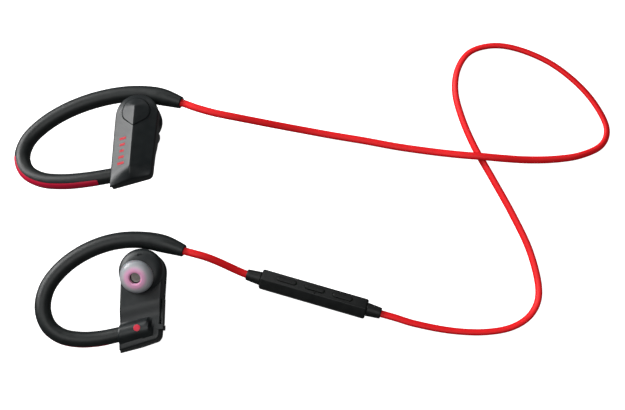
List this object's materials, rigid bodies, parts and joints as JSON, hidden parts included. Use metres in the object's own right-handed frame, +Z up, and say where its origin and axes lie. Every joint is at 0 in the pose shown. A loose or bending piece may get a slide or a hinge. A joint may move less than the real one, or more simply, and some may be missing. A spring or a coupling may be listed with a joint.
{
  "type": "neckband earphones",
  "caption": "Sport earphones: two ear-hook earpieces joined by a free behind-the-neck cord with an inline remote.",
  "frame": {"origin": "on the resting surface, under the middle of the two earpieces", "axes": "+Z up from the surface, +X from the hooks towards the cord's loop, +Y towards the left earpiece"},
  "size_m": [0.2345, 0.127, 0.0248],
  "materials": {
    "hook_rubber": "satin",
    "spring_steel": "satin",
    "strip_red": "gloss",
    "casing_grey": "satin",
    "casing_black": "satin",
    "driver_metal": "satin",
    "mesh_metal": "satin",
    "tip_silicone": "satin",
    "mark_red": "gloss",
    "switch_metal": "satin",
    "battery_wrap": "satin",
    "board_green": "satin",
    "flap_rubber": "matte",
    "remote_black": "satin",
    "key_rubber": "satin",
    "relief_rubber": "satin",
    "cord_red": "satin"
  },
  "bodies": {
    "frame": {"left_hook_sleeve": "hook_rubber", "left_hook_wire": "spring_steel", "left_hook_strip": "strip_red", "left_hook_pin": "spring_steel", "right_hook_sleeve": "hook_rubber", "right_hook_wire": "spring_steel", "right_hook_strip": "strip_red", "right_hook_pin": "spring_steel", "remote_top_shell": "remote_black", "remote_bottom_shell": "remote_black", "remote_circuit_board": "board_green", "remote_microphone": "switch_metal", "remote_left_relief": "relief_rubber", "remote_right_relief": "relief_rubber", "long_cord": "cord_red", "short_cord": "cord_red"},
    "left_button_body": {"left_sport_button": "casing_grey"},
    "socket_cover_body": {"right_socket_cover": "flap_rubber"},
    "volume_up_body": {"remote_volume_up": "key_rubber"},
    "call_button_body": {"remote_call_button": "key_rubber"},
    "volume_down_body": {"remote_volume_down": "key_rubber"},
    "left_earpiece": {"left_outer_shell": "casing_grey", "left_inner_shell": "casing_black", "left_speaker_housing": "casing_black", "left_speaker_driver": "driver_metal", "left_nozzle_mesh": "mesh_metal", "left_ear_tip": "tip_silicone", "left_side_mark": "mark_red", "left_button_switch": "switch_metal", "left_battery": "battery_wrap"},
    "right_earpiece": {"right_outer_shell": "casing_grey", "right_inner_shell": "casing_black", "right_speaker_housing": "casing_black", "right_speaker_driver": "driver_metal", "right_nozzle_mesh": "mesh_metal", "right_ear_tip": "tip_silicone", "right_side_mark": "mark_red", "right_antenna_cap": "casing_grey", "right_circuit_board": "board_green", "right_charging_socket": "switch_metal", "right_cover_pin": "spring_steel"}
  },
  "joints": [
    {"name": "left_earpiece_twist", "type": "hinge", "parent": "frame", "child": "left_earpiece", "pos_m": [0.00686, 0.01397, 0.01617], "axis": [0.9735, 0.2226, 0.0526], "range_deg": [-6, 15], "stiffness_Nm_per_rad": 0.05},
    {"name": "right_earpiece_twist", "type": "hinge", "parent": "frame", "child": "right_earpiece", "pos_m": [0.0102, -0.0454, 0.00763], "axis": [-0.9707, -0.225, -0.0849], "range_deg": [-6, 15], "stiffness_Nm_per_rad": 0.05},
    {"name": "sport_button_press", "type": "slide", "parent": "left_earpiece", "child": "left_button_body", "axis": [0.0862, -0.1444, -0.9858], "range_m": [0, 0.00035], "stiffness_N_per_m": 800},
    {"name": "socket_cover_hinge", "type": "hinge", "parent": "right_earpiece", "child": "socket_cover_body", "pos_m": [0.02591, -0.0426, 0.0082], "axis": [0.0872, 0, -0.9962], "range_deg": [0, 100]},
    {"name": "volume_up_press", "type": "slide", "parent": "frame", "child": "volume_up_body", "axis": [-0.1246, -0.4208, -0.8986], "range_m": [0, 0.0003], "stiffness_N_per_m": 500},
    {"name": "call_button_press", "type": "slide", "parent": "frame", "child": "call_button_body", "axis": [-0.1246, -0.4208, -0.8986], "range_m": [0, 0.0003], "stiffness_N_per_m": 500},
    {"name": "volume_down_press", "type": "slide", "parent": "frame", "child": "volume_down_body", "axis": [-0.1246, -0.4208, -0.8986], "range_m": [0, 0.0003], "stiffness_N_per_m": 500}
  ]
}
